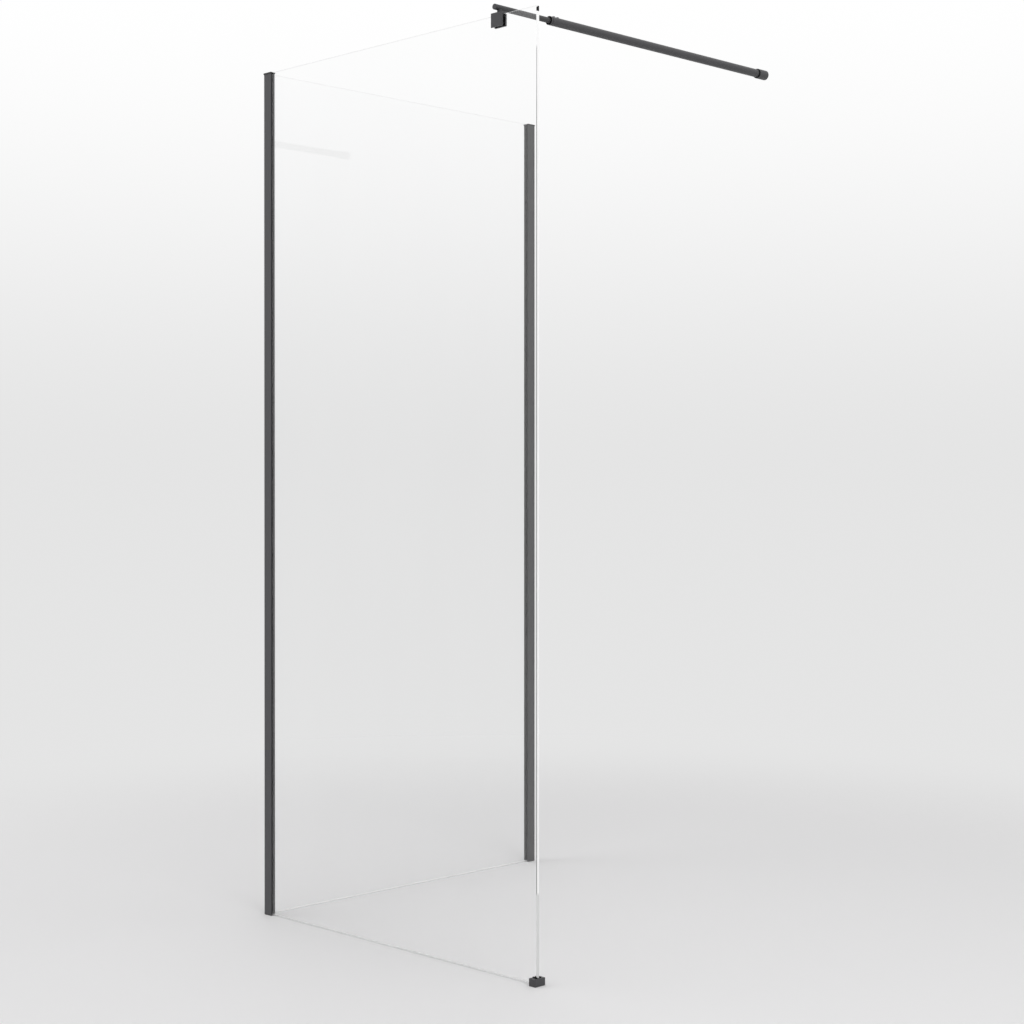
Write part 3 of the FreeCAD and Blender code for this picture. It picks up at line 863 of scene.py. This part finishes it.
class SHOWER_OT_glass_panels(bpy.types.Operator):
    """Two sheets of clear glass with a ground arris on every edge"""
    bl_idname = "shower.glass_panels"
    bl_label = "Glass Panels"

    def execute(self, context):
        glass = clear_glass()
        self.add_panel("front_glass", Y, [glass, front_edge()])
        self.add_panel("side_glass", X, [glass, side_edge()])
        return {"FINISHED"}

    def add_panel(self, node, across, materials):
        """Sheet of a node's size, with one material on its faces and another on its edges."""
        bm = block_shape(*span(node))
        round_edges(bm, bm.edges, sizes().glass_arris, steps=1)
        use_second_material(bm, lambda face: abs(face.normal[across]) < FACING)
        new_piece(node + "_panel", bm, SCREEN_BODY, materials, node, flat=True)


class SHOWER_OT_profiles(bpy.types.Operator):
    """Coat of the wall profile, a darker copy with painted shade, and of the corner profile"""
    bl_idname = "shower.profiles"
    bl_label = "Profiles"

    def execute(self, context):
        dress(corner_coat(), "corner_profile")
        # Painted shade: the wall profile gets the darker copy of the coat
        dress(wall_coat_painted_shade(), "wall_profile")
        return {"FINISHED"}


class SHOWER_OT_profile_caps(bpy.types.Operator):
    """Moulded caps on the tops of the two profiles"""
    bl_idname = "shower.profile_caps"
    bl_label = "Profile Caps"

    def execute(self, context):
        dress(cap_plastic(), "wall_profile_cap", "corner_profile_cap")
        return {"FINISHED"}


class SHOWER_OT_seals(bpy.types.Operator):
    """Wedge seals beside the glass and clear strips under it"""
    bl_idname = "shower.seals"
    bl_label = "Seals"

    def execute(self, context):
        dress(soft_rubber(), "wall_seal_outer", "corner_seal_front", "corner_seal_outer")
        dress(grey_rubber(), "wall_seal_inner", "corner_seal_inner")
        # Painted light: the back seal is pale where it lies along the front glass
        dress(lit_rubber(), "corner_seal_back")
        dress(clear_strip(), "front_bottom_seal", "side_bottom_seal")
        return {"FINISHED"}


class SHOWER_OT_setting_blocks(bpy.types.Operator):
    """Plastic blocks that carry the glass edges in the profiles"""
    bl_idname = "shower.setting_blocks"
    bl_label = "Setting Blocks"

    def execute(self, context):
        dress(block_plastic(), "wall_setting_block", "corner_front_block", "corner_side_block")
        return {"FINISHED"}


class SHOWER_OT_floor_foot(bpy.types.Operator):
    """Foot under the free corner of the front panel, with its soft liner"""
    bl_idname = "shower.floor_foot"
    bl_label = "Floor Foot"

    def execute(self, context):
        glass_low, glass_high = span("front_glass")
        around = Vector((sizes().foot_liner, sizes().foot_liner, 0))
        pocket_low = glass_low - around
        pocket_low.z = span("foot_liner")[0].z
        pocket = block_shape(pocket_low, glass_high + around)
        bm = carve(rounded_block("floor_foot"), [pocket])
        new_piece("floor_foot_shoe", bm, SCREEN_BODY, [fitting_coat()], "floor_foot")
        dress(soft_rubber(), "foot_liner")
        return {"FINISHED"}


class SHOWER_OT_glass_clamp(bpy.types.Operator):
    """Clamp on the top edge of the front panel, with pads, grub screws and saddle"""
    bl_idname = "shower.glass_clamp"
    bl_label = "Glass Clamp"

    def execute(self, context):
        low, high = span("clamp_body")
        bm = carve(rounded_block("clamp_body"), [self.glass_slot(low, high)] + self.grub_holes(high.y))
        new_piece("clamp_jaws", bm, SCREEN_BODY, [fitting_coat()], "clamp_body")
        dress(soft_rubber(), "clamp_pads")
        dress(fitting_coat(), "rod_saddle")
        dress(blackened_steel(), "clamp_grub_screws", "saddle_screw")
        return {"FINISHED"}

    def glass_slot(self, low, high):
        """Cutter for the slot that takes the glass and the pads, open at both ends and below."""
        past = (high - low).length
        pad_low, pad_high = span("clamp_pads")
        top = span("saddle_screw")[0].z
        return block_shape((low.x - past, pad_low.y, low.z - past), (high.x + past, pad_high.y, top))

    def grub_holes(self, back):
        """Cutters for the two tapped holes in the rear jaw."""
        low, high = span("clamp_grub_screws")
        radius = (high.z - low.z) / 2
        middle = (low.z + high.z) / 2
        return [
            hole_cutter((x, back, middle), Y, radius, back - low.y)
            for x in (low.x + radius, high.x - radius)
        ]


class SHOWER_OT_inner_rod(bpy.types.Operator):
    """Slim rod of the bar, with its end plug and glide"""
    bl_idname = "shower.inner_rod"
    bl_label = "Inner Rod"

    def execute(self, context):
        # Painted shade: the rod gets a darker copy of the bar's coat
        dress(rod_coat_painted_shade(), "inner_rod")
        dress(fitting_coat(), "rod_end_plug")
        dress(bush_nylon(), "rod_glide")
        return {"FINISHED"}


class SHOWER_OT_outer_tube(bpy.types.Operator):
    """Wide tube of the bar, with its guide bush and lock screws"""
    bl_idname = "shower.outer_tube"
    bl_label = "Outer Tube"

    def execute(self, context):
        dress(bar_coat(), "outer_tube")
        dress(blackened_steel(), "tube_lock_screws")
        self.add_bush()
        return {"FINISHED"}

    def add_bush(self):
        """Guide bush of black nylon: collar with a coated side, and a sleeve slotted for the screws."""
        low, high = span("guide_bush")
        collar = half_width("guide_bush")
        sleeve = half_width("rod_glide")
        bore = half_width("inner_rod") + sizes().running_gap
        shoulder = low.y + sizes().collar_length
        bm = turned_shape([
            (bore, low.y), (collar, low.y), (collar, shoulder),
            (sleeve, shoulder), (sleeve, high.y), (bore, high.y),
        ])
        rims = rim_edges(bm, collar, low.y) + rim_edges(bm, collar, shoulder)
        round_edges(bm, rims, sizes().rim)
        bm = carve(bm, [self.screw_slot(high.y)])

        def on_collar_side(face):
            return abs(face.normal.y) < TURNED_SIDE and face.calc_center_median().y < shoulder

        use_second_material(bm, on_collar_side)
        materials = [bush_nylon(), bar_coat()]
        new_piece("guide_bush_turned", bm, TUBE_BODY, materials, "guide_bush")

    def screw_slot(self, end):
        """Cutter for the slot that lets the lock screws through the sleeve."""
        gap = sizes().running_gap
        screw_low, screw_high = span("tube_lock_screws")
        front = span("outer_tube")[0].y
        middle = bar_axis()[1]
        return block_shape(
            (screw_low.x - gap, front, middle), (screw_high.x + gap, end + gap, screw_high.z),
        )


class SHOWER_OT_wall_socket(bpy.types.Operator):
    """Round socket that covers the fixing at the rear end of the bar"""
    bl_idname = "shower.wall_socket"
    bl_label = "Wall Socket"

    def execute(self, context):
        self.add_sleeve()
        self.add_ring()
        dress(turned_metal(), "socket_base")
        dress(blackened_steel(), "socket_grub_screw")
        return {"FINISHED"}

    def add_sleeve(self):
        """Sleeve with a seat for the ring in its mouth and a screw hole in its underside."""
        low, high = span("wall_socket")
        outer = half_width("wall_socket")
        bore = half_width("outer_tube") + sizes().socket_gap
        seat = half_width("socket_ring") + sizes().ring_gap
        seat_end = span("socket_ring")[1].y
        bm = turned_shape([
            (seat, low.y), (outer, low.y), (outer, high.y),
            (bore, high.y), (bore, seat_end), (seat, seat_end),
        ])
        round_edges(bm, rim_edges(bm, outer, low.y), sizes().rim)
        bm = carve(bm, [self.screw_hole(low.z, outer - bore)])
        new_piece("wall_socket_sleeve", bm, TUBE_BODY, [fitting_coat()], "wall_socket")

    def screw_hole(self, underside, wall):
        """Cutter for the hole of the grub screw, which comes out inside the sleeve."""
        low, high = span("socket_grub_screw")
        centre = ((low.x + high.x) / 2, (low.y + high.y) / 2, underside)
        return hole_cutter(centre, Z, half_width("socket_grub_screw"), 2 * wall)

    def add_ring(self):
        """Soft ring that closes the gap between the socket's mouth and the tube."""
        low, high = span("socket_ring")
        outer = half_width("socket_ring")
        inner = half_width("outer_tube") + sizes().ring_gap
        bm = turned_shape([(inner, low.y), (outer, low.y), (outer, high.y), (inner, high.y)])
        round_edges(bm, rim_edges(bm, outer, low.y) + rim_edges(bm, inner, low.y), sizes().ring_rim)
        new_piece("socket_ring_soft", bm, TUBE_BODY, [soft_rubber()], "socket_ring")


# Stage

def seen_rays(tree):
    """1 for rays from the camera and for what shows in gloss and through glass, else 0."""
    path = add_node(tree, "ShaderNodeLightPath").outputs
    direct = reckon(tree, "MAXIMUM", path["Is Camera Ray"], path["Is Glossy Ray"])
    return reckon(tree, "MAXIMUM", direct, path["Is Transmission Ray"])


def far_from(tree, centre, near, far):
    """Soft mask that goes from 0 to 1 between two distances from a centre."""
    ends = {0: object_place(tree), 1: centre}
    away = add_node(tree, "ShaderNodeVectorMath", ends, operation="DISTANCE")
    return ramp(tree, away.outputs["Value"], near, far, "SMOOTHERSTEP")


def floor_material(stage, centre):
    """Pale floor that runs out to the tone of the horizon."""
    look = {"Base Color": colour(stage.floor), "Roughness": 0.7}
    material, tree, shader, output = new_material("pale_floor", look)
    away = add_node(tree, "ShaderNodeEmission", {"Color": colour(stage.horizon), "Strength": 1.0})
    faded = far_from(tree, centre, stage.fade_start, stage.fade_end)
    shown = reckon(tree, "MULTIPLY", faded, seen_rays(tree))
    mix_shaders(tree, shown, shader.outputs["BSDF"], away.outputs["Emission"], output)
    return material


class SHOWER_OT_stage(bpy.types.Operator):
    """Pale floor, even studio light and the camera"""
    bl_idname = "shower.stage"
    bl_label = "Stage"

    def execute(self, context):
        stage = context.scene.shower_stage
        low, high = CAD_BOX
        middle = (low + high) / 2
        self.add_floor(stage, Vector((middle.x, middle.y, 0)))
        self.add_sky(context, stage)
        self.add_lamp("key_lamp", stage.key, Vector(stage.key_place), middle, stage.lamp_size)
        self.add_lamp("fill_lamp", stage.fill, Vector(stage.fill_place), middle, stage.lamp_size)
        self.add_camera(context, stage)
        context.scene.view_settings.view_transform = "Standard"
        return {"FINISHED"}

    def add_floor(self, stage, centre):
        """Round floor under the screen."""
        bm = bmesh.new()
        bmesh.ops.create_circle(bm, cap_ends=True, segments=FLOOR_STEPS, radius=stage.floor_radius)
        bmesh.ops.translate(bm, vec=centre, verts=bm.verts)
        floor = placed(bm, "floor")
        floor.data.materials.append(floor_material(stage, centre))

    def add_sky(self, context, stage):
        """Even light from all round; the camera, gloss and glass see the backdrop in its place."""
        world = bpy.data.worlds.new("even_sky")
        context.scene.world = world
        world.use_nodes = True
        tree = world.node_tree
        tree.nodes.clear()
        output = add_node(tree, "ShaderNodeOutputWorld")
        light = add_node(tree, "ShaderNodeBackground", {"Color": WHITE, "Strength": stage.sky})
        backdrop = {"Color": self.sky_colour(tree, stage), "Strength": 1.0}
        shown = add_node(tree, "ShaderNodeBackground", backdrop)
        mix_shaders(tree, seen_rays(tree), light.outputs["Background"], shown.outputs["Background"], output)

    def sky_colour(self, tree, stage):
        """Tone of the horizon, turning to white higher up."""
        look = add_node(tree, "ShaderNodeTexCoord").outputs["Generated"]
        rise = ramp(tree, split(tree, look)[Z], 0.0, math.sin(stage.white_above), "SMOOTHSTEP")
        return mixed(tree, rise, colour(stage.horizon), WHITE)

    def add_lamp(self, name, power, place, target, size):
        """Soft round lamp that looks at a target and isn't seen itself."""
        light = bpy.data.lights.new(name, "AREA")
        light.energy = power
        light.shape = "DISK"
        light.size = size
        lamp = in_scene(name, light)
        lamp.location = place
        lamp.rotation_euler = (target - place).to_track_quat("-Z", "Y").to_euler()
        lamp.visible_camera = False
        lamp.visible_glossy = False
        lamp.visible_transmission = False

    def add_camera(self, context, stage):
        """Camera of the main view."""
        data = bpy.data.cameras.new("main_view")
        data.sensor_width = FRAME_WIDTH
        data.lens = stage.lens
        data.shift_y = stage.shift_up
        camera = in_scene("main_view", data)
        camera.location = stage.camera_place
        camera.rotation_euler = (math.pi / 2 - stage.camera_tilt, 0, stage.camera_turn)
        context.scene.camera = camera


PIECE_OPERATORS = (
    SHOWER_OT_glass_panels,
    SHOWER_OT_profiles,
    SHOWER_OT_profile_caps,
    SHOWER_OT_seals,
    SHOWER_OT_setting_blocks,
    SHOWER_OT_floor_foot,
    SHOWER_OT_glass_clamp,
    SHOWER_OT_inner_rod,
    SHOWER_OT_outer_tube,
    SHOWER_OT_wall_socket,
    SHOWER_OT_stage,
)


class SHOWER_PT_pieces(bpy.types.Panel):
    """Lists the builders of the screen's pieces and the values that shape them"""
    bl_idname = "SHOWER_PT_pieces"
    bl_label = "Shower Screen"
    bl_space_type = "VIEW_3D"
    bl_region_type = "UI"
    bl_category = "Screen"

    def draw(self, context):
        layout = self.layout
        for operator in PIECE_OPERATORS:
            layout.operator(operator.bl_idname)
        for group in (context.scene.shower_sizes, context.scene.shower_finish, context.scene.shower_stage):
            box = layout.box()
            for name in group.__annotations__:
                box.prop(group, name)


CLASSES = (ShowerSizes, ShowerFinish, ShowerStage, *PIECE_OPERATORS, SHOWER_PT_pieces)


def register():
    for cls in CLASSES:
        bpy.utils.register_class(cls)
    bpy.types.Scene.shower_sizes = PointerProperty(type=ShowerSizes)
    bpy.types.Scene.shower_finish = PointerProperty(type=ShowerFinish)
    bpy.types.Scene.shower_stage = PointerProperty(type=ShowerStage)


def unregister():
    del bpy.types.Scene.shower_stage
    del bpy.types.Scene.shower_finish
    del bpy.types.Scene.shower_sizes
    for cls in reversed(CLASSES):
        bpy.utils.unregister_class(cls)


def main():
    register()
    bpy.ops.shower.glass_panels()
    bpy.ops.shower.profiles()
    bpy.ops.shower.profile_caps()
    bpy.ops.shower.seals()
    bpy.ops.shower.setting_blocks()
    bpy.ops.shower.floor_foot()
    bpy.ops.shower.glass_clamp()
    bpy.ops.shower.inner_rod()
    bpy.ops.shower.outer_tube()
    bpy.ops.shower.wall_socket()
    bpy.ops.shower.stage()


if __name__ == "__main__":
    main()
